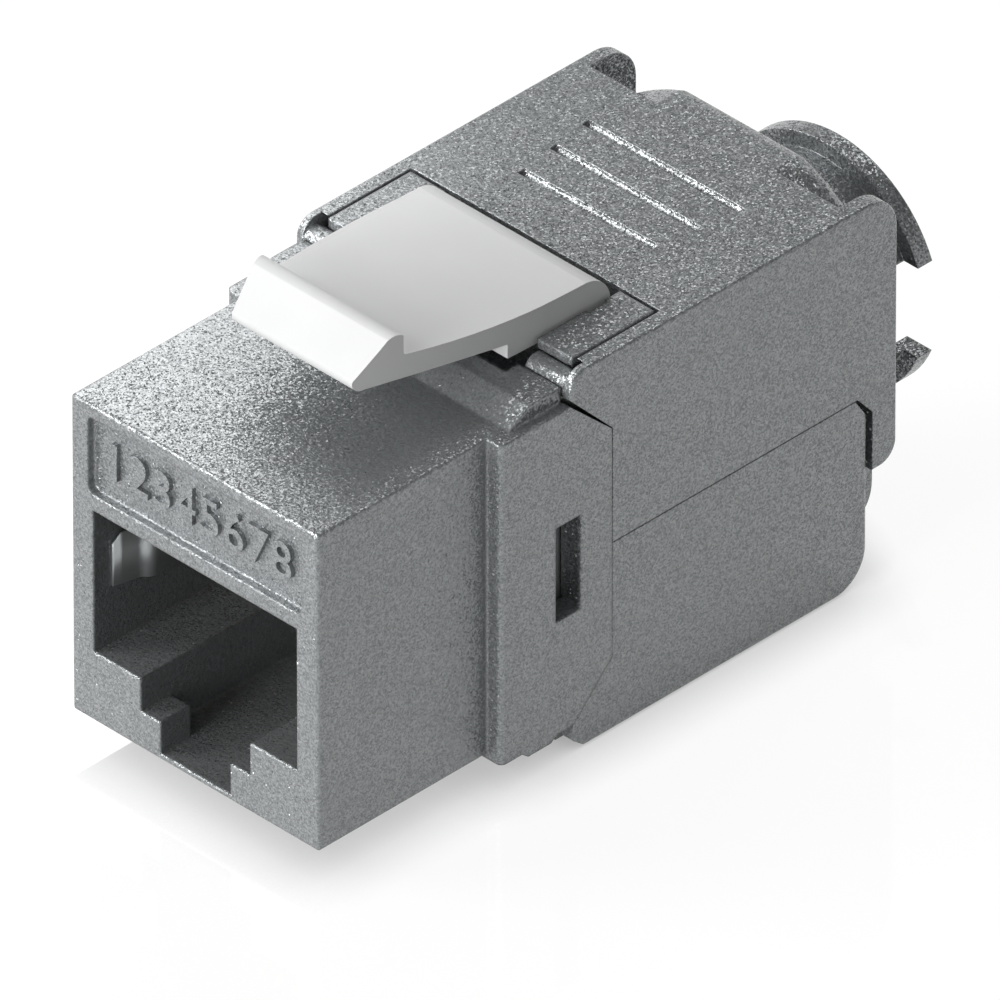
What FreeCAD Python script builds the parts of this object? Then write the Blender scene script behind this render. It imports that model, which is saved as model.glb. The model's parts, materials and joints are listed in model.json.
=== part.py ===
import FreeCAD, Part
import math
import os

# Shielded keystone jack, in millimetres.
# X runs across the jack, Y runs from the plug side to the cable side, Z is up.
# The jack is modelled with Y = 0 at the front face of its nose. Each piece is moved forward
# by half the overall length when it is written, so that the origin is under its middle.

V = FreeCAD.Vector
X_AXIS = V(1, 0, 0)
Y_AXIS = V(0, 1, 0)

# ---- overall sizes and fits ----
body_width = 16.14
split_gap = 0.05            # between the two wings, at mid height
running_gap = 0.05          # radial play of a hinge
slip_gap = 0.1              # side play of a moving piece
seat_gap = 0.05             # between pieces that sit in or on each other
swing_gap = 0.2             # kept free round the sweep of a wing
sink = 0.1                  # how far joined forms run into each other
beyond = 1.0                # how far a cut runs past what it cuts

# ---- nose of the front housing ----
nose_width = 14.5
nose_height = 16.0
nose_bottom = 1.68
nose_top_drop = 1.52        # nose below the top of the jack
nose_length = 9.85
nose_edge_radius = 0.15

# ---- plug port ----
port_width = 12.0
port_height = 7.2
port_floor_height = 3.52    # above the underside of the nose
port_depth = 12.2
front_wall = 1.5            # wall above the port
key_width = 6.48            # channel for the latch of the plug
key_shelf_height = 1.88     # step beside the mouth of the channel
key_mouth_width = 4.16
key_floor_wall = 0.3
catch_depth = 1.8           # length of the steps that the plug's latch hooks behind

# ---- label recess ----
label_width = 12.55
label_above_port = 0.78
label_top_margin = 0.62     # to the top of the nose
label_depth = 0.4
label_corner = 0.35

# ---- flange behind the nose, with places measured from its front face ----
flange_drop = 0.22          # flange below the nose
flange_wall = 1.21
flange_edge_radius = 0.3
seam_setback = 4.05         # where the wings start, at the top
seam_run = 2.5              # length of the slanted part of the seam
seam_corner_drop = 3.8      # from the top or bottom to the corner of the seam
seam_gap = 0.06
shut_gap = 0.01             # closed end of the seam
ramp_setback = 1.0
ramp_length = 1.17
ramp_height = 0.78
ramp_inset = 0.51           # from the side of the flange
heel_setback = 1.23         # fixed rib under the flange, for the panel
heel_length = 2.06
heel_depth = 0.28
heel_chamfer = 0.36
window_setback = 3.19
window_length = 1.52
window_height = 4.8
window_bottom = 7.16

# ---- inner frame of the front housing ----
frame_gap = 0.35            # between the frame and the walls of the wings
frame_wall = 0.95
frame_inset = 0.2           # underside of the frame above that of the nose
roof_wall = 1.0

# ---- wings ----
wing_wall = 0.77
plate_wall = 1.2
wing_edge_radius = 0.15
plate_length = 14.05        # from the seam to the rear edge of the plates
hinge_setback = 0.6
hinge_inset = 0.95          # hinge axes in from the top and the bottom of the jack
hinge_radius = 0.6
stub_skin = 0.3             # wall left outside the end of a hinge stub
front_corner = 0.9
front_edge_drop = 1.2       # from the top down to the lower end of the upper wing's front
lower_wing_setback = 0.2    # behind the front of the upper wing
lower_hinge_setback = 0.85
lower_hinge_radius = 0.5
lower_front_rise = 0.63
lower_front_chamfer = 0.8
lower_seam_corner = 0.6
lower_wing_reach = 1.05     # behind the plates
lower_rear_corner = 1.9
lower_edge_radius = 0.3
lap_gap = 0.26              # between the lower wing and the lugs of the upper wing
lap_chamfer_y = 0.8
lap_chamfer_z = 1.2
lug_reach = 2.73            # behind the plates
lug_bottom = 5.55
lug_top_corner = 1.8
lug_bottom_corner = 1.0

# ---- cable collar, half of it on each wing ----
cable_rise = 0.145          # cable axis above mid height
cable_radius = 4.7
boss_radius = 10.05
boss_wall = 1.2
boss_reach = 2.15           # behind the plates
boss_edge_radius = 1.0
neck_radius = 5.25
neck_length = 4.35
rim_radius = 6.0
rim_thickness = 0.85
collar_slot = 4.55          # height of the open slot on each side of the collar

# ---- grip grooves on the wings ----
groove_radius = 0.22
groove_setback = 3.29       # first groove behind the tabs
groove_pitch = 2.2
groove_half_length = 3.94
groove_growth = 0.3
groove_count = 3

# ---- ears and tabs that hold the upper hinge ----
ear_inner = 5.3
ear_overhang = 0.34         # tab behind its ear
tab_setback = 0.42          # behind the hinge axis
tab_length = 4.82
tab_thickness = 0.45
tab_inner_overhang = 0.18
tab_gap = 0.16              # to the wall of the wing

# ---- latch lever, with places measured from its axis ----
latch_setback = 3.8         # behind the upper hinge
latch_axis_inset = 0.85     # below the top of the jack
latch_half_width = 4.9
latch_tip_half_width = 3.5
latch_side_bow = 0.42
latch_waist = 1.0           # from the axis to the start of the tapered sides
latch_edge_radius = 0.15
knuckle_radius = 0.95
lever_reach = 12.6
lever_back = 1.1
lever_back_rise = 0.7
lever_heel = 0.6
lever_under_rise = 0.39
lever_step_reach = 4.82
lever_step_rise = 1.1
lever_step_clearance = 0.4
lever_rear_setback = 0.3
lever_rear_rise = 2.01
lever_front_rise = 2.89
toe_setback = 0.55
toe_rise = 1.85
tip_rise = 2.4
lip_setback = 1.68
lip_thickness = 0.75
lip_rise = 3.88
belly_bow = 0.1
back_bow = 0.33
top_bow = 0.13
lip_bow = 0.11
tip_bow = 0.22
cradle_margin = 0.7
cradle_drop = 0.15

# ---- shield springs ----
sheet = 0.25
spring_clearance = 0.01
spring_front = 1.06
spring_bottom = 8.0
spring_height = 2.1
spring_bulge = 0.5
bulge_start = 2.7
bulge_crest = 4.6
bulge_end = 7.2
bulge_foot_radius = 3.0
bulge_crest_radius = 5.0
spring_bend = 0.6
spring_bend_start = 0.9     # before the end of the port
spring_bend_end = 0.25      # behind the end of the port
spring_plate_margin = 0.6
spring_plate_tail = 0.7
pocket_front = 1.3          # before the end of the port
pocket_tail = 0.9

# ---- contact insert, contacts and circuit board ----
contact_count = 8
contact_pitch = 1.02
contact_width = 0.4
contact_thickness = 0.3
contact_bend = 0.45
contact_run_height = 1.5    # above the port
contact_turn = 4.3
contact_low_setback = 2.2   # before the end of the port
contact_drop = 2.2
contact_tip_setback = 0.8
contact_tip_lift = 0.5
comb_slot = 0.6
comb_height = 2.1
comb_floor = 1.0
comb_front_wall = 1.2
comb_rear_wall = 0.6
insert_side_gap = 0.3       # to the port and to the chamber behind it
insert_front = 1.6
insert_block_length = 3.2
board_thickness = 1.0
board_margin = 0.4

# ---- wire termination ----
blades_in_row = 4
blade_inset = 1.55          # outermost blades in from the sides of the board
blade_width = 1.5
blade_thickness = 0.4
blade_slit = 0.3
blade_slit_depth = 2.6
blade_row_inset = 1.5       # blades in from the outer faces of the towers
blade_length = 5.1
blade_end_gap = 0.3
tower_length = 2.4
tower_height = 4.0
tower_roof_gap = 0.5        # to the top and bottom of the chamber
tower_clearance = 0.2
cap_side_gap = 1.1
cap_step = 0.1              # top and bottom of the cap in from those of the towers
cap_corner = 1.0
cap_length = 9.0
cap_hole_radius = 3.3
cap_spout_radius = 4.3
cap_spout_length = 2.0
cap_floor = 3.0
wire_groove_width = 1.2
wire_groove_depth = 1.5
wire_notch_length = 0.8
wire_notch_depth = 3.9
press_rib_width = 0.8
press_rib_offset = 2.4
press_rib_front = 1.5
press_rib_rear = 0.5

# ---- places worked out from the sizes above ----
half_width = body_width / 2
nose_top = nose_bottom + nose_height
body_height = nose_top + nose_top_drop
mid_z = body_height / 2
cable_z = mid_z + cable_rise
flange_bottom = nose_bottom - flange_drop
flange_inner = half_width - flange_wall
port_floor = nose_bottom + port_floor_height
port_top = port_floor + port_height
label_bottom = port_top + label_above_port
label_top = nose_top - label_top_margin
roof_bottom = nose_top - roof_wall
frame_bottom = nose_bottom + frame_inset
chamber_bottom = frame_bottom + roof_wall
chamber_mid_z = (chamber_bottom + roof_bottom) / 2
ramp_half_width = half_width - ramp_inset
ramp_top = nose_top + ramp_height
window_front = nose_length + window_setback
window_rear = window_front + window_length
window_top = window_bottom + window_height
seam_front = nose_length + seam_setback
seam_rear = seam_front + seam_run
seam_top = body_height - seam_corner_drop
wing_inner = half_width - wing_wall
frame_half_width = wing_inner - frame_gap
chamber_half_width = frame_half_width - frame_wall
upper_hinge_y = seam_front + hinge_setback
upper_hinge_z = body_height - hinge_inset
lower_wing_front = seam_front + lower_wing_setback
lower_hinge_y = lower_wing_front + lower_hinge_setback
lower_hinge_z = hinge_inset
plate_rear = seam_rear + plate_length
lower_wing_rear = plate_rear + lower_wing_reach
boss_rear = plate_rear + boss_reach
boss_front = boss_rear - boss_wall
boss_bore = boss_radius - boss_wall
lug_rear = plate_rear + lug_reach
overall_length = boss_rear + neck_length + rim_thickness
tab_half_width = wing_inner - tab_gap
tab_front = upper_hinge_y + tab_setback
tab_rear = tab_front + tab_length
tab_bottom = body_height - tab_thickness
ear_rear = tab_rear - ear_overhang
latch_axis_y = upper_hinge_y + latch_setback
latch_axis_z = body_height - latch_axis_inset
lever_front = latch_axis_y - lever_reach
insert_rear = port_depth + insert_block_length
board_front = insert_rear + 2 * seat_gap
board_rear = board_front + board_thickness
board_half_width = chamber_half_width - 2 * seat_gap
tower_front = board_rear + seat_gap
tower_rear = tower_front + tower_length
tower_half_height = roof_bottom - chamber_mid_z - tower_roof_gap
blade_height = tower_half_height - blade_row_inset
cap_front = tower_rear + tower_clearance
cap_rear = cap_front + cap_length
cap_half_width = wing_inner - cap_side_gap
cap_low = chamber_mid_z - tower_half_height + cap_step
cap_high = chamber_mid_z + tower_half_height - cap_step
spout_rear = cap_rear + cap_spout_length
frame_rear = cap_front - slip_gap


# ---- building blocks ----
def box(x_range, y_range, z_range):
    corner = V(x_range[0], y_range[0], z_range[0])
    size = [span[1] - span[0] for span in (x_range, y_range, z_range)]
    return Part.makeBox(size[0], size[1], size[2], corner)


def centred_box(half_x, y_range, z_range):
    return box((-half_x, half_x), y_range, z_range)


def rod_x(y, z, radius, x_start, x_end):
    return Part.makeCylinder(radius, x_end - x_start, V(x_start, y, z), X_AXIS)


def cable_rod(radius, y_start, y_end):
    return Part.makeCylinder(radius, y_end - y_start, V(0, y_start, cable_z), Y_AXIS)


def mirrored(shape):
    return shape.mirror(V(0, 0, 0), X_AXIS)


def both_sides(shape):
    return [shape, mirrored(shape)]


def rounded_wire(corners, place):
    """Closed outline of (a, b) or (a, b, radius) corners, put in space by place(a, b)."""
    points = [V(corner[0], corner[1], 0) for corner in corners]
    radii = [corner[2] if len(corner) > 2 else 0 for corner in corners]
    ends = []
    arcs = []
    for index, point in enumerate(points):
        if radii[index] == 0:
            ends.append((point, point))
            arcs.append(None)
            continue
        back = (points[index - 1] - point).normalize()
        ahead = (points[(index + 1) % len(points)] - point).normalize()
        half_turn = back.getAngle(ahead) / 2
        reach = radii[index] / math.tan(half_turn)
        bisector = (back + ahead).normalize()
        centre = point + bisector * (radii[index] / math.sin(half_turn))
        start = point + back * reach
        end = point + ahead * reach
        ends.append((start, end))
        arcs.append((start, centre - bisector * radii[index], end))
    edges = []
    for index, (start, end) in enumerate(ends):
        if arcs[index]:
            edges.append(Part.Arc(*[place(p.x, p.y) for p in arcs[index]]).toShape())
        following = ends[(index + 1) % len(ends)][0]
        if end.distanceToPoint(following) > 1e-6:
            edges.append(Part.makeLine(place(end.x, end.y), place(following.x, following.y)))
    return Part.Wire(edges)


def bowed_wire(corners, place):
    """Closed outline of (a, b, bow) corners: each side bulges from its chord by bow.

    The corners run anticlockwise, a positive bow is outward and a bow of 0 is straight."""
    edges = []
    for index, (a, b, bow) in enumerate(corners):
        c, d = corners[(index + 1) % len(corners)][:2]
        if bow == 0:
            edges.append(Part.makeLine(place(a, b), place(c, d)))
            continue
        chord = math.hypot(c - a, d - b)
        middle = ((a + c) / 2 + bow * (d - b) / chord, (b + d) / 2 - bow * (c - a) / chord)
        edges.append(Part.Arc(place(a, b), place(*middle), place(c, d)).toShape())
    return Part.Wire(edges)


def side_slab(corners, x_start, x_end):
    """Plate with a rounded (y, z) outline between two x positions."""
    wire = rounded_wire(corners, lambda y, z: V(x_start, y, z))
    return Part.Face(wire).extrude(V(x_end - x_start, 0, 0))


def front_slab(corners, y_start, y_end):
    """Plate with a rounded (x, z) outline between two y positions."""
    wire = rounded_wire(corners, lambda x, z: V(x, y_start, z))
    return Part.Face(wire).extrude(V(0, y_end - y_start, 0))


def bent_strip(points, thickness, place, sweep):
    """Sheet or wire bent along (a, b, inner radius) points, with its thickness to their left."""
    near, far = [], []
    for index, (a, b, radius) in enumerate(points):
        here = V(a, b, 0)
        ahead = V(*points[index + 1][:2], 0) - here if index + 1 < len(points) else None
        back = here - V(*points[index - 1][:2], 0) if index else None
        run_in = (back or ahead).normalize()
        run_out = (ahead or back).normalize()
        normal_in = V(-run_in.y, run_in.x, 0)
        normal_out = V(-run_out.y, run_out.x, 0)
        mitre = (normal_in + normal_out).normalize()
        shifted = here + mitre * (thickness / mitre.dot(normal_in))
        left_turn = run_in.x * run_out.y - run_in.y * run_out.x > 0
        outer = radius + thickness if radius else 0
        near.append((here.x, here.y, outer if left_turn else radius))
        far.append((shifted.x, shifted.y, radius if left_turn else outer))
    return Part.Face(rounded_wire(near + far[::-1], place)).extrude(sweep)


def fused(shapes):
    return shapes[0].multiFuse(shapes[1:]).removeSplitter()


def carved(shape, tools):
    return shape.cut(Part.makeCompound(tools))


def round_edges(shape, radius, wanted):
    """Fillet the edges whose middle satisfies wanted."""
    return shape.makeFillet(radius, [edge for edge in shape.Edges if wanted(edge.CenterOfMass)])


# ---- front housing ----
def nose():
    block = centred_box(nose_width / 2, (0, nose_length + beyond), (nose_bottom, nose_top))
    return round_edges(block, nose_edge_radius, lambda at: at.y < nose_length)


def flange():
    outline = [
        (nose_length, flange_bottom), (nose_length, nose_top), (seam_front, nose_top),
        (seam_rear - seam_gap, seam_top), (seam_rear - shut_gap, seam_corner_drop),
        (lower_wing_front, flange_bottom),
    ]
    block = side_slab(outline, -half_width, half_width)
    tiny = shut_gap
    return round_edges(block, flange_edge_radius,
                       lambda at: at.y < nose_length + tiny and abs(at.x) > half_width - tiny)


def ramp():
    ramp_front = nose_length + ramp_setback
    rear = seam_front - seam_gap
    outline = [
        (ramp_front, nose_top - sink), (ramp_front, nose_top),
        (ramp_front + ramp_length, ramp_top), (rear, ramp_top), (rear, nose_top - sink),
    ]
    return side_slab(outline, -ramp_half_width, ramp_half_width)


def heel():
    front = nose_length + heel_setback
    rear = front + heel_length
    bottom = flange_bottom - heel_depth
    outline = [
        (front, flange_bottom), (front + heel_chamfer, bottom),
        (rear - heel_chamfer, bottom), (rear, flange_bottom),
        (rear, flange_bottom + sink), (front, flange_bottom + sink),
    ]
    return side_slab(outline, -half_width, half_width)


def inner_frame():
    tube = centred_box(frame_half_width, (nose_length + beyond, frame_rear),
                       (frame_bottom, nose_top))
    ear = side_slab([
        (upper_hinge_y, nose_top - sink), (tab_front, tab_bottom + sink),
        (ear_rear, tab_bottom + sink), (ear_rear, nose_top - sink),
    ], ear_inner, frame_half_width)
    tab = box((ear_inner - tab_inner_overhang, tab_half_width), (tab_front, tab_rear),
              (tab_bottom, body_height))
    cradle = centred_box(ear_inner,
                         (latch_axis_y - knuckle_radius - cradle_margin, ear_rear),
                         (nose_top - sink, latch_axis_z - cradle_drop))
    foot = centred_box(frame_half_width, (lower_wing_front + seat_gap, ear_rear),
                       (slip_gap, frame_bottom + sink))
    return [tube, cradle, foot] + both_sides(ear) + both_sides(tab)


def port_tools():
    port_half = port_width / 2
    channel_floor = nose_bottom + key_floor_wall
    label_half = label_width / 2
    label = front_slab([
        (-label_half, label_bottom, label_corner), (label_half, label_bottom, label_corner),
        (label_half, label_top, label_corner), (-label_half, label_top, label_corner),
    ], -beyond, label_depth)
    return [
        label,
        centred_box(port_half, (-beyond, frame_rear + beyond), (port_floor, port_top)),
        centred_box(port_half, (front_wall, frame_rear + beyond), (port_top - sink, roof_bottom)),
        centred_box(key_width / 2, (-beyond, port_depth),
                    (nose_bottom + key_shelf_height, port_floor + sink)),
        centred_box(key_width / 2, (catch_depth, port_depth), (channel_floor, port_floor + sink)),
        centred_box(key_mouth_width / 2, (-beyond, port_depth), (channel_floor, port_floor + sink)),
    ]


def chamber_tools():
    rear_chamber = centred_box(chamber_half_width, (port_depth, frame_rear + beyond),
                               (chamber_bottom, roof_bottom))
    pocket_margin = spring_plate_margin + slip_gap
    spring_pocket = centred_box(flange_inner, (port_depth - pocket_front, window_rear + pocket_tail),
                                (window_bottom - pocket_margin, window_top + pocket_margin))
    windows = centred_box(half_width + beyond, (window_front, window_rear),
                          (window_bottom, window_top))
    return [rear_chamber, spring_pocket, windows]


def hinge_seat_tools():
    upper = rod_x(upper_hinge_y, upper_hinge_z, hinge_radius + running_gap, ear_inner, half_width)
    lower = rod_x(lower_hinge_y, lower_hinge_z, lower_hinge_radius + running_gap,
                  ear_inner, half_width)
    knuckle = rod_x(latch_axis_y, latch_axis_z, knuckle_radius + running_gap,
                    -ear_inner, ear_inner)
    step_y = latch_axis_y - lever_step_reach - lever_step_clearance
    step_relief = centred_box(latch_half_width + 2 * slip_gap, (step_y, seam_front),
                              (nose_top, ramp_top + beyond))
    return [knuckle, step_relief] + both_sides(upper) + both_sides(lower)


def front_housing():
    solid = fused([nose(), flange(), ramp(), heel()] + inner_frame())
    return carved(solid, port_tools() + chamber_tools() + hinge_seat_tools())


# ---- wings ----
def collar():
    """Boss, neck and rim round the cable, turned about its axis."""
    drum = cable_rod(boss_radius, plate_rear - plate_wall, boss_rear)
    drum = drum.common(centred_box(boss_radius, (0, boss_rear), (0, body_height)))
    drum = round_edges(drum, boss_edge_radius, lambda at: at.y > boss_rear - sink)
    neck = cable_rod(neck_radius, boss_front, overall_length)
    rim = cable_rod(rim_radius, overall_length - rim_thickness, overall_length)
    bore = cable_rod(boss_bore, 0, boss_front)
    cable_hole = cable_rod(cable_radius, 0, overall_length + beyond)
    slots = centred_box(rim_radius + beyond, (boss_rear, overall_length + beyond),
                        (cable_z - collar_slot / 2, cable_z + collar_slot / 2))
    return carved(fused([drum, neck, rim]), [bore, cable_hole, slots])


def end_wall(z_range):
    wall = centred_box(wing_inner + sink, (plate_rear - plate_wall, plate_rear), z_range)
    return wall.cut(cable_rod(boss_bore, 0, overall_length))


def half_collar(half_x, z_range):
    return collar().common(centred_box(half_x, (0, overall_length), z_range))


def grip_grooves(z):
    tools = []
    for index in range(groove_count):
        half = groove_half_length + groove_growth * index
        y = tab_rear + groove_setback + groove_pitch * index
        tools.append(rod_x(y, z, groove_radius, -half, half))
    return tools


def press_ribs(z_start, z_end):
    rib = box((press_rib_offset, press_rib_offset + press_rib_width),
              (cap_front + press_rib_front, cap_rear - press_rib_rear), (z_start, z_end))
    return both_sides(rib)


def swing_sweep(hinge_y, hinge_z, inset):
    """Space that the ears and tabs need inside a wing as it turns about its hinge."""
    radius = math.hypot(tab_rear - hinge_y, inset) + swing_gap
    return rod_x(hinge_y, hinge_z, radius, -wing_inner, wing_inner)


def hinge_stub(y, z, radius):
    return rod_x(y, z, radius, ear_inner + slip_gap, half_width - stub_skin)


def upper_wing():
    split = mid_z + split_gap / 2
    lap_front = lower_wing_rear + lap_gap
    wall_outline = [
        (seam_front, body_height - front_edge_drop),
        (seam_front, body_height, front_corner),
        (lug_rear, body_height, lug_top_corner),
        (lug_rear, lug_bottom, lug_bottom_corner),
        (lap_front, lug_bottom),
        (lap_front, split - lap_chamfer_z + lap_gap / 2),
        (lower_wing_rear - lap_chamfer_y + lap_gap / 2, split),
        (seam_rear, split), (seam_rear, seam_top),
    ]
    wall = side_slab(wall_outline, wing_inner, half_width)
    wall = round_edges(wall, wing_edge_radius,
                       lambda at: at.x > half_width - shut_gap
                       and (at.z > upper_hinge_z or at.y > lug_rear - lug_bottom_corner))
    plate_bottom = body_height - plate_wall
    plate = centred_box(wing_inner + sink, (upper_hinge_y, plate_rear), (plate_bottom, body_height))
    ribs = press_ribs(cap_high + 2 * seat_gap, plate_bottom + sink)
    shell = fused(both_sides(wall) + ribs + [
        plate, end_wall((split, body_height)), half_collar(wing_inner + sink, (split, body_height))])
    ramp_relief = rod_x(upper_hinge_y, upper_hinge_z, front_corner + swing_gap,
                        -ramp_half_width - slip_gap, ramp_half_width + slip_gap)
    shell = carved(shell, [swing_sweep(upper_hinge_y, upper_hinge_z, hinge_inset), ramp_relief]
                   + grip_grooves(body_height))
    return fused([shell] + both_sides(hinge_stub(upper_hinge_y, upper_hinge_z, hinge_radius)))


def lower_wing():
    split = mid_z - split_gap / 2
    lap_bottom = split - lap_chamfer_z
    corner_start = lower_wing_rear - lower_rear_corner
    wall_outline = [
        (lower_wing_front, lower_front_rise), (lower_wing_front + lower_front_chamfer, 0),
        (lower_wing_rear, 0, lower_rear_corner),
        (lower_wing_rear, lap_bottom), (lower_wing_rear - lap_chamfer_y, split),
        (seam_rear, split), (seam_rear, seam_corner_drop - shut_gap),
        (lower_wing_front, flange_bottom - shut_gap, lower_seam_corner),
    ]
    wall = side_slab(wall_outline, wing_inner, half_width)
    wall = round_edges(wall, lower_edge_radius,
                       lambda at: at.x > half_width - shut_gap
                       and (at.z < shut_gap or (at.y > corner_start and at.z < lap_bottom)))
    plate = centred_box(wing_inner + sink, (lower_hinge_y, plate_rear), (0, plate_wall))
    ribs = press_ribs(plate_wall - sink, cap_low - 2 * seat_gap)
    shell = fused(both_sides(wall) + ribs + [
        plate, end_wall((0, split)), half_collar(wing_inner - slip_gap, (0, split))])
    shell = carved(shell, [swing_sweep(lower_hinge_y, lower_hinge_z, hinge_inset)]
                   + grip_grooves(0))
    return fused([shell] + both_sides(hinge_stub(lower_hinge_y, lower_hinge_z, lower_hinge_radius)))


# ---- latch lever ----
def latch_lever():
    def profile_place(y, z):
        return V(-latch_half_width, latch_axis_y + y, latch_axis_z + z)

    tip = -lever_reach
    lip_front = tip + lip_setback
    lip_back = lip_front + lip_thickness
    profile = bowed_wire([
        (tip + toe_setback, toe_rise, -belly_bow),
        (-lever_step_reach, lever_step_rise, 0), (-lever_step_reach, lever_under_rise, 0),
        (-lever_heel, lever_under_rise, 0), (0, 0, 0), (knuckle_radius, 0, 0),
        (lever_back, lever_back_rise, back_bow),
        (-lever_rear_setback, lever_rear_rise, -top_bow),
        (lip_back, lever_front_rise, 0), (lip_back, lip_rise, lip_bow),
        (lip_front, lip_rise, 0), (tip, tip_rise, tip_bow),
    ], profile_place)
    lever = Part.Face(profile).extrude(V(2 * latch_half_width, 0, 0))
    front = lever_front - sink
    waist = latch_axis_y - latch_waist
    rear = latch_axis_y + lever_back + beyond
    plan = bowed_wire([
        (-latch_tip_half_width, front, 0), (latch_tip_half_width, front, latch_side_bow),
        (latch_half_width, waist, 0), (latch_half_width, rear, 0),
        (-latch_half_width, rear, 0), (-latch_half_width, waist, latch_side_bow),
    ], lambda x, y: V(x, y, 0))
    column = Part.Face(plan).extrude(V(0, 0, 2 * body_height))
    lever = lever.common(column)
    lever = round_edges(lever, latch_edge_radius,
                        lambda at: abs(at.x) < sink and at.z > latch_axis_z + lever_step_rise + sink)
    knuckle = rod_x(latch_axis_y, latch_axis_z, knuckle_radius, -latch_half_width, latch_half_width)
    return fused([lever, knuckle])


# ---- shield springs ----
def shield_spring():
    flat = port_width / 2 - sheet - spring_clearance
    plate_x = flange_inner - sheet - spring_clearance
    plate_rear_y = window_rear + spring_plate_tail
    path = [
        (plate_x, plate_rear_y, 0),
        (plate_x, port_depth + spring_bend_end, spring_bend),
        (flat, port_depth - spring_bend_start, spring_bend),
        (flat, bulge_end, bulge_foot_radius), (flat - spring_bulge, bulge_crest, bulge_crest_radius),
        (flat, bulge_start, bulge_foot_radius), (flat, spring_front, 0),
    ]
    tongue = bent_strip(path, sheet, lambda x, y: V(x, y, spring_bottom), V(0, 0, spring_height))
    plate = box((plate_x, plate_x + sheet), (window_front - slip_gap, plate_rear_y),
                (window_bottom - spring_plate_margin, window_top + spring_plate_margin))
    return fused([tongue, plate])


# ---- contact insert, contacts and board ----
def contact_places():
    first = -contact_pitch * (contact_count - 1) / 2
    return [first + contact_pitch * index for index in range(contact_count)]


def port_contact(x):
    run_z = port_top + contact_run_height
    low_z = port_top - contact_drop
    path = [
        (board_front - seat_gap, run_z, 0), (contact_turn, run_z, contact_bend),
        (port_depth - contact_low_setback, low_z, contact_bend),
        (port_depth - contact_tip_setback, low_z + contact_tip_lift, 0),
    ]
    return bent_strip(path, contact_thickness,
                      lambda y, z: V(x - contact_width / 2, y, z), V(contact_width, 0, 0))


def port_insert():
    top = roof_bottom - seat_gap
    tongue = centred_box(port_width / 2 - insert_side_gap, (insert_front, insert_rear),
                         (port_top + seat_gap, top))
    block = centred_box(chamber_half_width - insert_side_gap, (port_depth, insert_rear),
                        (chamber_bottom + seat_gap, top))
    comb_top = port_top + comb_height
    tools = []
    for x in contact_places():
        slot = (x - comb_slot / 2, x + comb_slot / 2)
        tools.append(box(slot, (insert_front + comb_front_wall, port_depth - comb_rear_wall),
                         (port_top - beyond, comb_top)))
        tools.append(box(slot, (port_depth - beyond, insert_rear + beyond),
                         (port_top + comb_floor, comb_top)))
    return carved(fused([tongue, block]), tools)


def circuit_board():
    return centred_box(board_half_width, (board_front, board_rear),
                       (chamber_bottom + board_margin, roof_bottom - board_margin))


# ---- wire termination ----
def blade_places():
    outermost = board_half_width - blade_inset
    pitch = 2 * outermost / (blades_in_row - 1)
    row = [pitch * index - outermost for index in range(blades_in_row)]
    return [(x, chamber_mid_z + side * blade_height) for side in (1, -1) for x in row]


def idc_blade(x, z):
    tip = tower_front + blade_length
    blade = box((x - blade_width / 2, x + blade_width / 2), (tower_front, tip),
                (z - blade_thickness / 2, z + blade_thickness / 2))
    slit = box((x - blade_slit / 2, x + blade_slit / 2), (tip - blade_slit_depth, tip + beyond),
               (z - blade_thickness, z + blade_thickness))
    return blade.cut(slit)


def blade_slots(y_start, y_end, gap):
    slots = []
    for x, z in blade_places():
        slots.append(box((x - blade_width / 2 - gap, x + blade_width / 2 + gap), (y_start, y_end),
                         (z - blade_thickness / 2 - gap, z + blade_thickness / 2 + gap)))
    return slots


def idc_tower(side):
    outer = chamber_mid_z + side * tower_half_height
    inner = outer - side * tower_height
    tower = centred_box(board_half_width, (tower_front, tower_rear), sorted((inner, outer)))
    return carved(tower, blade_slots(tower_front - beyond, tower_rear + beyond, seat_gap))


def wire_cap():
    body = front_slab([
        (-cap_half_width, cap_low, cap_corner), (cap_half_width, cap_low, cap_corner),
        (cap_half_width, cap_high, cap_corner), (-cap_half_width, cap_high, cap_corner),
    ], cap_front, cap_rear)
    spout = cable_rod(cap_spout_radius, cap_rear - beyond, spout_rear)
    hole = cable_rod(cap_hole_radius, cap_front + cap_floor, spout_rear + beyond)
    blade_end = tower_front + blade_length + blade_end_gap
    tools = [hole] + blade_slots(cap_front - beyond, blade_end, 2 * seat_gap)
    for x, z in blade_places():
        side, face = (1, cap_high) if z > chamber_mid_z else (-1, cap_low)
        outside = face + side * beyond
        groove_floor = face - side * wire_groove_depth
        notch_floor = face - side * wire_notch_depth
        groove = (x - wire_groove_width / 2, x + wire_groove_width / 2)
        tools.append(box(groove, (cap_front - beyond, cap_rear + beyond),
                         sorted((groove_floor, outside))))
        tools.append(box(groove, (cap_front - beyond, cap_front + wire_notch_length),
                         sorted((notch_floor, outside))))
    return carved(fused([body, spout]), tools)


# ---- writing the pieces ----
def export(name, shape):
    if shape.ShapeType != "Solid" and len(shape.Solids) == 1:
        shape = shape.Solids[0]
    shape = shape.copy()
    shape.translate(V(0, -overall_length / 2, 0))
    if not shape.isValid():
        print("not valid:", name)
    print(name, len(shape.Solids), round(shape.Volume, 2))
    shape.exportStep("parts/" + name + ".step")


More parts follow.
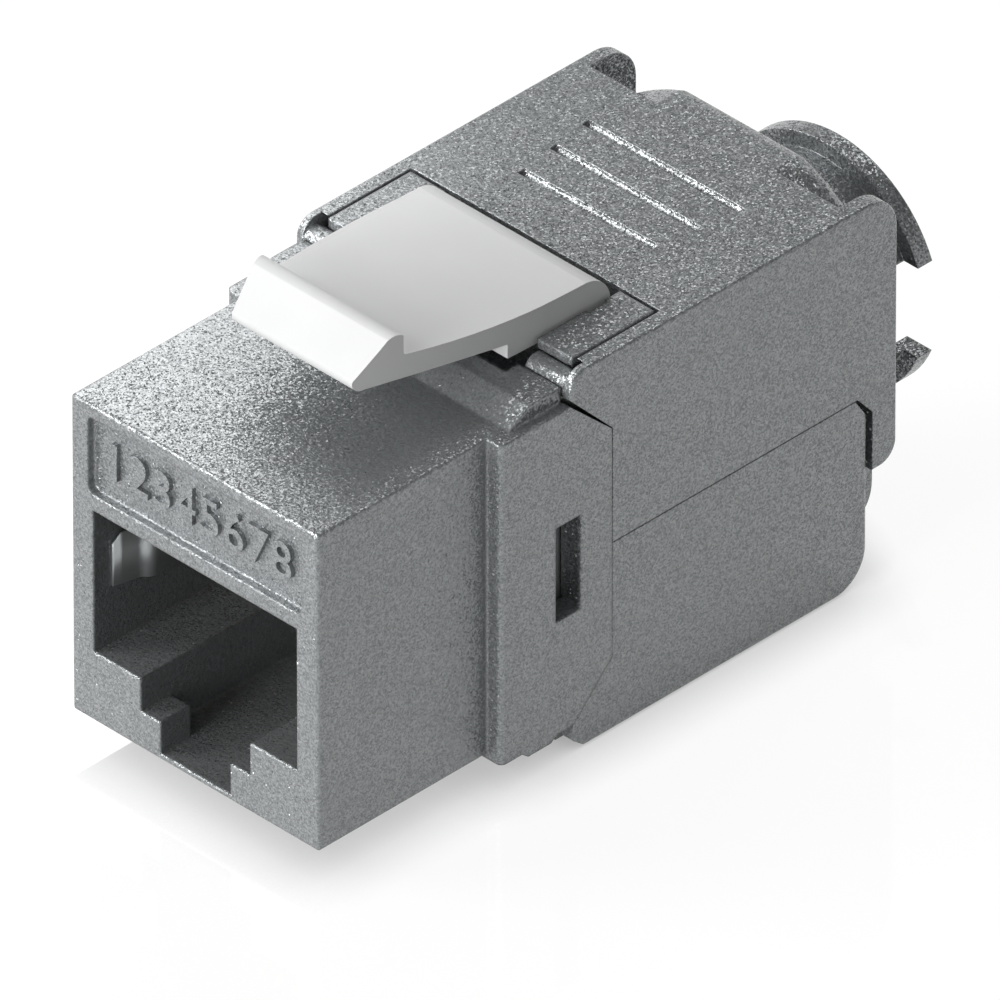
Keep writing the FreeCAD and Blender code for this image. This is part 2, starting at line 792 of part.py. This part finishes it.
def main():
    os.makedirs("parts", exist_ok=True)
    export("front_housing", front_housing())
    export("upper_wing", upper_wing())
    export("lower_wing", lower_wing())
    export("latch_lever", latch_lever())
    spring = shield_spring()
    export("shield_spring_right", spring)
    export("shield_spring_left", mirrored(spring))
    export("port_insert", port_insert())
    for number, x in enumerate(contact_places(), 1):
        export(f"port_contact_{number}", port_contact(x))
    export("circuit_board", circuit_board())
    export("idc_tower_upper", idc_tower(1))
    export("idc_tower_lower", idc_tower(-1))
    for number, (x, z) in enumerate(blade_places(), 1):
        export(f"idc_blade_{number}", idc_blade(x, z))
    export("wire_cap", wire_cap())


main()
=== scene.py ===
import bpy
import json
import math
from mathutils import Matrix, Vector


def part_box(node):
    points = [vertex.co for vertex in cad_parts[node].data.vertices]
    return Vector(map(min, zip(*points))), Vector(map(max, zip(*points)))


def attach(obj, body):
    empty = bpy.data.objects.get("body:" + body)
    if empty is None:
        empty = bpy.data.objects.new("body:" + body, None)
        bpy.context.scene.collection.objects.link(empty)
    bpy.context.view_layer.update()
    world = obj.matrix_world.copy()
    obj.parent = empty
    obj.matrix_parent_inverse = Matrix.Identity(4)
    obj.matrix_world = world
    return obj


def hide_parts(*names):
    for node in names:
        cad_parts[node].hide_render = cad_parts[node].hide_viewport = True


# Looks of the shielded keystone jack, in metres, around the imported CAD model.
# +X is to the right seen from the plug side, +Y leads from the plug to the cable, +Z is up.

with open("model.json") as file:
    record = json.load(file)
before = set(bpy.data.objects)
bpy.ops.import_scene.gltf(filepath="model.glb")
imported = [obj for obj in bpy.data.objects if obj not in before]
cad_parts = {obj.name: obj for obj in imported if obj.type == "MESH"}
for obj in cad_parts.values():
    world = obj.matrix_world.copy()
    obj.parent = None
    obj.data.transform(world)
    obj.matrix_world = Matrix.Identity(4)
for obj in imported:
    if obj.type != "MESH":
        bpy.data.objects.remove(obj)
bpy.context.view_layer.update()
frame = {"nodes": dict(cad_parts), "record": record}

MM = 0.001
WHITE = (1, 1, 1, 1)
PINS = 8


# ---- object helpers ----
def put_in_scene(name, data):
    """New object that holds the mesh, text, lamp or camera."""
    piece = bpy.data.objects.new(name, data)
    bpy.context.scene.collection.objects.link(piece)
    return piece


def aim(thing, direction, distance, target=Vector((0, 0, 0))):
    """Stand off from the target in that direction and look back at it."""
    way = Vector(direction).normalized()
    thing.location = target + way * distance
    thing.rotation_euler = (-way).to_track_quat("-Z", "Y").to_euler()


# ---- node helpers ----
class Tree:
    """Short names for building a node tree."""

    def __init__(self, tree):
        self.tree = tree
        tree.nodes.clear()

    def add(self, kind, **settings):
        node = self.tree.nodes.new(kind)
        for name, value in settings.items():
            setattr(node, name, value)
        return node

    def link(self, output, target):
        self.tree.links.new(output, target)

    def feed(self, target, value):
        """Put a number, a colour or another node's output into a socket."""
        if isinstance(value, bpy.types.NodeSocket):
            self.link(value, target)
        else:
            target.default_value = value

    def math(self, operation, a, b):
        node = self.add("ShaderNodeMath", operation=operation)
        self.feed(node.inputs[0], a)
        self.feed(node.inputs[1], b)
        return node.outputs[0]

    def vector(self, operation, a, b=(0, 0, 0)):
        node = self.add("ShaderNodeVectorMath", operation=operation)
        self.feed(node.inputs[0], a)
        self.feed(node.inputs[1], b)
        return node.outputs["Vector"]

    def scaled(self, vector, factor):
        node = self.add("ShaderNodeVectorMath", operation="SCALE")
        self.feed(node.inputs[0], vector)
        self.feed(node.inputs["Scale"], factor)
        return node.outputs["Vector"]

    def point(self):
        """Place on the piece, in its own frame."""
        return self.add("ShaderNodeTexCoord").outputs["Object"]

    def mix(self, factor, a, b):
        """Colour a where the factor is 0, b where it is 1."""
        # The colour sockets go by index, because the node has several called A and B.
        node = self.add("ShaderNodeMix", data_type="RGBA")
        self.feed(node.inputs[0], factor)
        self.feed(node.inputs[6], a)
        self.feed(node.inputs[7], b)
        return node.outputs[2]

    def ramp(self, value, start, end):
        """0 below start, 1 above end."""
        node = self.add("ShaderNodeMapRange", interpolation_type="SMOOTHSTEP")
        self.feed(node.inputs["Value"], value)
        node.inputs["From Min"].default_value = start
        node.inputs["From Max"].default_value = end
        return node.outputs["Result"]

    def noise(self, point, size, detail=2.0):
        """Noise from 0 to 1 with features of about that size."""
        node = self.add("ShaderNodeTexNoise")
        self.feed(node.inputs["Vector"], point)
        node.inputs["Scale"].default_value = 1 / size
        node.inputs["Detail"].default_value = detail
        return node.outputs["Fac"]

    def cells(self, point, size):
        """One random colour for each grain of about that size."""
        node = self.add("ShaderNodeTexVoronoi")
        self.feed(node.inputs["Vector"], point)
        node.inputs["Scale"].default_value = 1 / size
        return node.outputs["Color"]

    def bump(self, height, distance, strength=1.0, normal=None):
        node = self.add("ShaderNodeBump")
        self.feed(node.inputs["Height"], height)
        node.inputs["Distance"].default_value = distance
        node.inputs["Strength"].default_value = strength
        if normal is not None:
            self.feed(node.inputs["Normal"], normal)
        return node.outputs["Normal"]

    def rounded(self, radius):
        """Normal that softens edges by that radius."""
        node = self.add("ShaderNodeBevel", samples=8)
        node.inputs["Radius"].default_value = radius
        return node.outputs["Normal"]

    def seen(self):
        """1 for rays from the camera, a reflection or glass, 0 for soft light."""
        rays = self.add("ShaderNodeLightPath").outputs
        either = self.math("MAXIMUM", rays["Is Camera Ray"], rays["Is Glossy Ray"])
        return self.math("MAXIMUM", either, rays["Is Transmission Ray"])


def new_material(name):
    material = bpy.data.materials.new(name)
    material.use_nodes = True
    return material, Tree(material.node_tree)


def finish_surface(tree, colour, metallic, roughness, normal, specular=0.5):
    shader = tree.add("ShaderNodeBsdfPrincipled")
    tree.feed(shader.inputs["Base Color"], colour)
    tree.feed(shader.inputs["Metallic"], metallic)
    tree.feed(shader.inputs["Roughness"], roughness)
    tree.feed(shader.inputs["Normal"], normal)
    shader.inputs["Specular IOR Level"].default_value = specular
    output = tree.add("ShaderNodeOutputMaterial")
    tree.link(shader.outputs[0], output.inputs["Surface"])


def dimmed(colour, factor):
    red, green, blue, alpha = colour
    return (red * factor, green * factor, blue * factor, alpha)


# ---- kinds of surface ----
def tilted_grains(tree, normal, way, pick):
    """Tilt the normal by a random way for each grain, and more for the few that stand out."""
    common_tilt = 0.45
    extra_tilt = 0.8
    stand_out_above = 0.955
    stands_out = tree.math("GREATER_THAN", pick, stand_out_above)
    amount = tree.math("ADD", common_tilt, tree.math("MULTIPLY", stands_out, extra_tilt))
    tilt = tree.scaled(tree.vector("SUBTRACT", way, (0.5, 0.5, 0.5)), amount)
    return tree.vector("NORMALIZE", tree.vector("ADD", normal, tilt))


def zinc(name, edge_radius):
    """Sand-finished die casting: fine flat grains that glint, with a random grain tone whose light
    grains are partly painted glints, on softly rounded edges.
    """
    grain_size = 0.07 * MM
    peel_size = 0.22 * MM
    peel_depth = 0.025 * MM
    darkest = (0.165, 0.174, 0.178, 1)
    lightest = (0.35, 0.366, 0.372, 1)
    material, tree = new_material(name)
    point = tree.point()
    grain = tree.cells(point, grain_size)
    split = tree.add("ShaderNodeSeparateColor")
    tree.link(grain, split.inputs[0])
    faceted = tilted_grains(tree, tree.rounded(edge_radius), grain, split.outputs["Red"])
    peel = tree.noise(point, peel_size, detail=1.0)
    normal = tree.bump(peel, peel_depth, normal=faceted)
    # Each grain takes a random tone from darkest to lightest: partly the casting's own speckle,
    # partly painted glints, with light grains standing in for grains that catch the light.
    colour = tree.mix(split.outputs["Green"], darkest, lightest)
    finish_surface(tree, colour, metallic=0.45, roughness=0.26, normal=normal)
    return material


def moulded(name, colour, roughness, peel_size=0.15 * MM, peel_depth=0.01 * MM, specular=0.5):
    """Moulded plastic whose colour and gloss drift a little."""
    drift_size = 3 * MM
    dimmest = 0.96
    extra_roughness = 0.06
    material, tree = new_material(name)
    point = tree.point()
    drift = tree.noise(point, drift_size, detail=1.0)
    shade = tree.mix(drift, colour, dimmed(colour, dimmest))
    rough = tree.math("ADD", roughness, tree.math("MULTIPLY", drift, extra_roughness))
    normal = tree.bump(tree.noise(point, peel_size), peel_depth, strength=0.5)
    finish_surface(tree, shade, metallic=0.0, roughness=rough, normal=normal, specular=specular)
    return material


def rolled_metal(name, colour, roughness, metallic=1.0):
    """Rolled or drawn metal with fine streaks from front to rear."""
    streak_width = 0.06 * MM
    streak_depth = 0.004 * MM
    long_rearward = (1.0, 0.08, 1.0)
    dimmest = 0.88
    extra_roughness = 0.1
    material, tree = new_material(name)
    streaks = tree.noise(tree.vector("MULTIPLY", tree.point(), long_rearward), streak_width)
    shade = tree.mix(streaks, colour, dimmed(colour, dimmest))
    rough = tree.math("ADD", roughness, tree.math("MULTIPLY", streaks, extra_roughness))
    normal = tree.bump(streaks, streak_depth, strength=0.5)
    finish_surface(tree, shade, metallic, roughness=rough, normal=normal)
    return material


# ---- materials ----
def latch_plastic():
    """White moulding with a low sheen and hardly any peel."""
    return moulded("latch_plastic", (0.715, 0.72, 0.72, 1), roughness=0.42,
                   peel_size=0.3 * MM, peel_depth=0.003 * MM, specular=0.2)


def spring_steel():
    return rolled_metal("spring_steel", (0.36, 0.375, 0.38, 1), roughness=0.38, metallic=0.7)


def contact_gold():
    return rolled_metal("contact_gold", (0.83, 0.62, 0.25, 1), roughness=0.25)


def blade_metal():
    return rolled_metal("blade_metal", (0.72, 0.72, 0.70, 1), roughness=0.3)


def insert_plastic():
    return moulded("insert_plastic", (0.02, 0.02, 0.022, 1), roughness=0.45)


def tower_plastic():
    return moulded("tower_plastic", (0.72, 0.72, 0.69, 1), roughness=0.4)


def cap_plastic():
    return moulded("cap_plastic", (0.07, 0.075, 0.08, 1), roughness=0.45)


def board_laminate():
    """Green solder mask over a faint weave."""
    weave_size = 0.2 * MM
    weave_depth = 0.01 * MM
    long_upward = (1.0, 1.0, 0.3)
    material, tree = new_material("board")
    weave = tree.noise(tree.vector("MULTIPLY", tree.point(), long_upward), weave_size)
    shade = tree.mix(weave, (0.02, 0.12, 0.05, 1), (0.03, 0.17, 0.07, 1))
    normal = tree.bump(weave, weave_depth, strength=0.4)
    finish_surface(tree, shade, metallic=0.0, roughness=0.35, normal=normal)
    return material


MATERIALS = {
    "zinc": zinc("zinc", edge_radius=0.24 * MM),
    "zinc_wings": zinc("zinc_wings", edge_radius=0.1 * MM),
    "zinc_digits": zinc("zinc_digits", edge_radius=0.03 * MM),
    "latch_plastic": latch_plastic(),
    "spring_steel": spring_steel(),
    "contact_gold": contact_gold(),
    "blade_metal": blade_metal(),
    "insert_plastic": insert_plastic(),
    "tower_plastic": tower_plastic(),
    "cap_plastic": cap_plastic(),
    "board": board_laminate(),
}


def dress_cad_nodes():
    """Give each CAD node the material of its slot. The wings have crisper edges."""
    for part in frame["record"]["subparts"]:
        node = frame["nodes"][part["node"]]
        wing = part["node"] in ("upper_wing", "lower_wing")
        material = MATERIALS["zinc_wings" if wing else part["material_slot"]]
        if not node.material_slots:
            node.data.materials.append(material)
        for slot in node.material_slots:
            slot.material = material


# ---- pin numbers in the label recess ----
def pin_number(number):
    """One raised plain digit of the row in the recess above the port."""
    size = 2.6 * MM
    pitch = 1.4 * MM
    middle_of_row = (1 + PINS) / 2
    below_top = 4.07 * MM
    recess_depth = 0.4 * MM
    relief = 0.22 * MM
    boldness = 0.02 * MM
    housing_low, housing_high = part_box("front_housing")
    text = bpy.data.curves.new(f"pin_number_{number}", "FONT")
    text.body = str(number)
    text.size = size
    text.align_x = "CENTER"
    text.align_y = "CENTER"
    text.offset = 0 if number == 4 else boldness  # a bolder 4 would close up inside
    text.extrude = relief / 2
    text.resolution_u = 6
    text.materials.append(MATERIALS["zinc_digits"])
    piece = put_in_scene(f"pin_number_{number}", text)
    piece.rotation_euler = (math.pi / 2, 0, 0)
    across = (number - middle_of_row) * pitch
    inward = housing_low.y + recess_depth - relief / 2
    piece.location = (across, inward, housing_high.z - below_top)
    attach(piece, "housing")


# ---- leaf springs ----
# A row is one line across the sheet: across and y place it, low and high are its ends.
LEAF_LOW = 8.05 * MM
LEAF_HIGH = 10.6 * MM
CLIMB_STEPS = 15
RISE_STEPS = 4
FALL_STEPS = 6
BENT_STEPS = CLIMB_STEPS + RISE_STEPS + FALL_STEPS


def leaf_heading(count):
    """Slant of the sheet at that step: a gentle climb, a steeper rise, a rounded crest."""
    gentle = math.radians(14)
    steep = math.radians(52)
    if count < CLIMB_STEPS:
        return gentle
    if count < CLIMB_STEPS + RISE_STEPS:
        return gentle + (steep - gentle) * (count - CLIMB_STEPS + 1) / RISE_STEPS
    return steep * (1 - (count - CLIMB_STEPS - RISE_STEPS + 1) / FALL_STEPS)


def leaf_tongue(front):
    """Rows from the free end over the crest, and the place where the next row would be."""
    tip_across = 5.95 * MM
    step = 0.085 * MM
    corner_cut = 0.45 * MM
    corner_steps = 5
    rows = []
    across = tip_across
    y = front
    for count in range(BENT_STEPS + 1):
        cut = max(0, corner_steps - count) / corner_steps * corner_cut
        rows.append((across, y, LEAF_LOW, LEAF_HIGH - cut))
        across -= math.sin(leaf_heading(count)) * step
        y += math.cos(leaf_heading(count)) * step
    return rows, across, y


def leaf_rear(across, y, node_low, node_high):
    """Rows from the crest along the wall of the port to the plate behind the side window."""
    flat_length = 2 * MM
    flat_slant = 0.1 * MM
    to_wall = 5 * MM
    wall_across = 5.85 * MM
    bend_length = 1.6 * MM
    plate_length = 3.1 * MM
    plate_inset = 0.12 * MM
    shoulder = 0.01 * MM
    plate_across = max(abs(node_low.x), abs(node_high.x)) - plate_inset
    plate_front = node_high.y - plate_length
    return [
        (across + flat_slant, y + flat_length, LEAF_LOW, LEAF_HIGH),
        (wall_across, y + to_wall, LEAF_LOW, LEAF_HIGH),
        (wall_across, plate_front - bend_length, LEAF_LOW, LEAF_HIGH),
        (plate_across, plate_front, LEAF_LOW, LEAF_HIGH),
        (plate_across, plate_front + shoulder, node_low.z, node_high.z),
        (plate_across, node_high.y, node_low.z, node_high.z),
    ]


def strip_mesh(name, side, rows, smooth_faces):
    """Sheet through the rows, smooth along its first faces and flat after them."""
    corners = [(side * across, y, z) for across, y, *ends in rows for z in ends]
    faces = [(2 * i, 2 * i + 2, 2 * i + 3, 2 * i + 1) for i in range(len(rows) - 1)]
    mesh = bpy.data.meshes.new(name)
    mesh.from_pydata(corners, [], faces)
    for face in mesh.polygons:
        face.use_smooth = face.index < smooth_faces
    return mesh


def leaf_spring(side):
    """Thin sheet: a tip in the mouth of the port, a crest, and a plate behind the flange."""
    name = "left" if side < 0 else "right"
    node_low, node_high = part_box("shield_spring_" + name)
    rows, across, y = leaf_tongue(node_low.y)
    rows += leaf_rear(across, y, node_low, node_high)
    smooth_faces = BENT_STEPS + 2  # as far as the wall of the port
    mesh = strip_mesh("leaf_spring_" + name, side, rows, smooth_faces)
    mesh.materials.append(MATERIALS["spring_steel"])
    piece = put_in_scene("leaf_spring_" + name, mesh)
    sheet = piece.modifiers.new("sheet", "SOLIDIFY")
    sheet.thickness = 0.1 * MM
    sheet.offset = 0
    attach(piece, "housing")
    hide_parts("shield_spring_" + name)


# ---- camera ----
def add_camera():
    """Nearly isometric view, through a lens short enough for the views from other sides."""
    target = Vector((0, -1.05, 6.99)) * MM
    frame_width = 41.6 * MM
    data = bpy.data.cameras.new("camera")
    data.lens = 1700
    data.sensor_width = 36
    data.clip_start = 0.1
    data.clip_end = 10
    camera = put_in_scene("camera", data)
    aim(camera, (1, -1, 1), frame_width * data.lens / data.sensor_width, target)
    bpy.context.scene.camera = camera


# ---- floor ----
def table_top(tree):
    """White table whose glow is painted darker close to where the jack stands, a painted contact
    shadow.
    """
    painted_shade_reach = 3 * MM
    darkest_glow = 0.36
    open_glow = 0.62
    # Painted contact shadow: an occlusion node darkens the glow that the camera sees wherever the
    # jack stands close by.
    painted_contact_shade = tree.add("ShaderNodeAmbientOcclusion", samples=16)
    painted_contact_shade.inputs["Distance"].default_value = painted_shade_reach
    strength = tree.math("ADD", darkest_glow, tree.math("MULTIPLY", painted_contact_shade.outputs["AO"], open_glow))
    glow = tree.add("ShaderNodeEmission")
    glow.inputs["Color"].default_value = WHITE
    tree.link(tree.math("MULTIPLY", tree.seen(), strength), glow.inputs["Strength"])
    diffuse = tree.add("ShaderNodeBsdfDiffuse")
    diffuse.inputs["Color"].default_value = (0.18, 0.18, 0.18, 1)
    both = tree.add("ShaderNodeAddShader")
    tree.link(diffuse.outputs[0], both.inputs[0])
    tree.link(glow.outputs[0], both.inputs[1])
    return both.outputs[0]


def floor_material():
    """Table top with a faint mirror that only the camera sees."""
    mirror_share = 0.1
    material, tree = new_material("floor")
    mirror = tree.add("ShaderNodeBsdfGlossy")
    mirror.inputs["Roughness"].default_value = 0.03
    by_camera = tree.add("ShaderNodeLightPath").outputs["Is Camera Ray"]
    blend = tree.add("ShaderNodeMixShader")
    tree.link(tree.math("MULTIPLY", by_camera, mirror_share), blend.inputs[0])
    tree.link(table_top(tree), blend.inputs[1])
    tree.link(mirror.outputs[0], blend.inputs[2])
    output = tree.add("ShaderNodeOutputMaterial")
    tree.link(blend.outputs[0], output.inputs["Surface"])
    return material


def add_floor():
    """Square floor at the height on which the jack stands."""
    half = 3.0
    corners = [(-half, -half, 0), (half, -half, 0), (half, half, 0), (-half, half, 0)]
    mesh = bpy.data.meshes.new("floor")
    mesh.from_pydata(corners, [], [(0, 1, 2, 3)])
    mesh.materials.append(floor_material())
    floor = put_in_scene("floor", mesh)


# ---- world and lamps ----
def add_world():
    """Room that looks white at the horizon and grey above, and gives an even soft light."""
    white_below = 0.05
    grey_above = 0.5
    dimming = 0.8
    soft_light = 0.28
    world = bpy.data.worlds.new("studio")
    bpy.context.scene.world = world
    world.use_nodes = True
    tree = Tree(world.node_tree)
    split = tree.add("ShaderNodeSeparateXYZ")
    tree.link(tree.add("ShaderNodeTexCoord").outputs["Generated"], split.inputs[0])
    height = tree.ramp(split.outputs["Z"], white_below, grey_above)
    shown = tree.math("SUBTRACT", 1.0, tree.math("MULTIPLY", height, dimming))
    strength = tree.math("MAXIMUM", tree.math("MULTIPLY", shown, tree.seen()), soft_light)
    background = tree.add("ShaderNodeBackground")
    background.inputs["Color"].default_value = WHITE
    tree.link(strength, background.inputs["Strength"])
    output = tree.add("ShaderNodeOutputWorld")
    tree.link(background.outputs[0], output.inputs["Surface"])


def add_lamp(name, direction, size, power, distance=0.5, lights_diffuse=True):
    """Square soft box that looks at the origin. Without diffuse light it shows in gloss alone."""
    data = bpy.data.lights.new(name, "AREA")
    data.size = size
    data.energy = power
    lamp = put_in_scene(name, data)
    aim(lamp, direction, distance)
    lamp.visible_diffuse = lights_diffuse
    lamp.visible_camera = False


def add_lamps():
    """Soft boxes on the left and in front, a weak one behind, and two for the glints."""
    add_lamp("left", (-1, -1.05, 0.85), size=0.2, power=0.95)
    add_lamp("front", (0, -0.97, 0.25), size=0.2, power=1.9)
    add_lamp("back", (-0.3, 0.75, 0.6), size=0.15, power=0.3)
    add_lamp("rim", (-0.653, 0.052, 0.751), size=0.022, power=0.0066, distance=0.042)
    add_lamp("card", (-1, -1, 1), size=0.24, power=2.1, lights_diffuse=False)


add_camera()
add_floor()
add_world()
add_lamps()
bpy.context.scene.view_settings.view_transform = "Standard"
dress_cad_nodes()
for number in range(1, PINS + 1):
    pin_number(number)
leaf_spring(-1)
leaf_spring(1)
